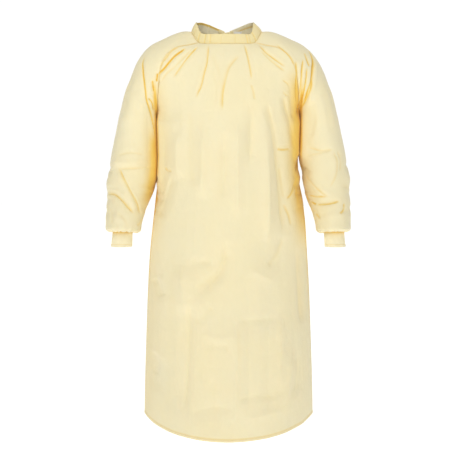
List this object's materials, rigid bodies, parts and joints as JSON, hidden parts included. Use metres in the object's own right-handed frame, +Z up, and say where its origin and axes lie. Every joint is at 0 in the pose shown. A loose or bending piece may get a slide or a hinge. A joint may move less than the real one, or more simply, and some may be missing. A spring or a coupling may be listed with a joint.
{
  "type": "surgical gown",
  "caption": "Long-sleeved surgical gown, filled out as worn, with raglan sleeves, rib cuffs, a neckband and neck ties, open down the back.",
  "frame": {"origin": "middle of the neck opening, level with the tops of the shoulders", "axes": "+X to the wearer's left, +Y to the wearer's back, +Z up"},
  "size_m": [0.6984, 0.3982, 1.1584],
  "materials": {
    "cloth": "soft non-woven cloth, slightly translucent, pale yellow",
    "band": "doubled non-woven cloth, pale yellow",
    "rib": "fine rib knit, pale yellow",
    "label": "smooth white woven tape, bare"
  },
  "bodies": {
    "root": {"front": "cloth", "back_left": "cloth", "back_right": "cloth", "sleeve_left": "cloth", "sleeve_right": "cloth", "neckband": "band", "tie_left": "band", "tie_right": "band", "label": "label", "cuff_left": "rib", "cuff_right": "rib"}
  },
  "joints": []
}
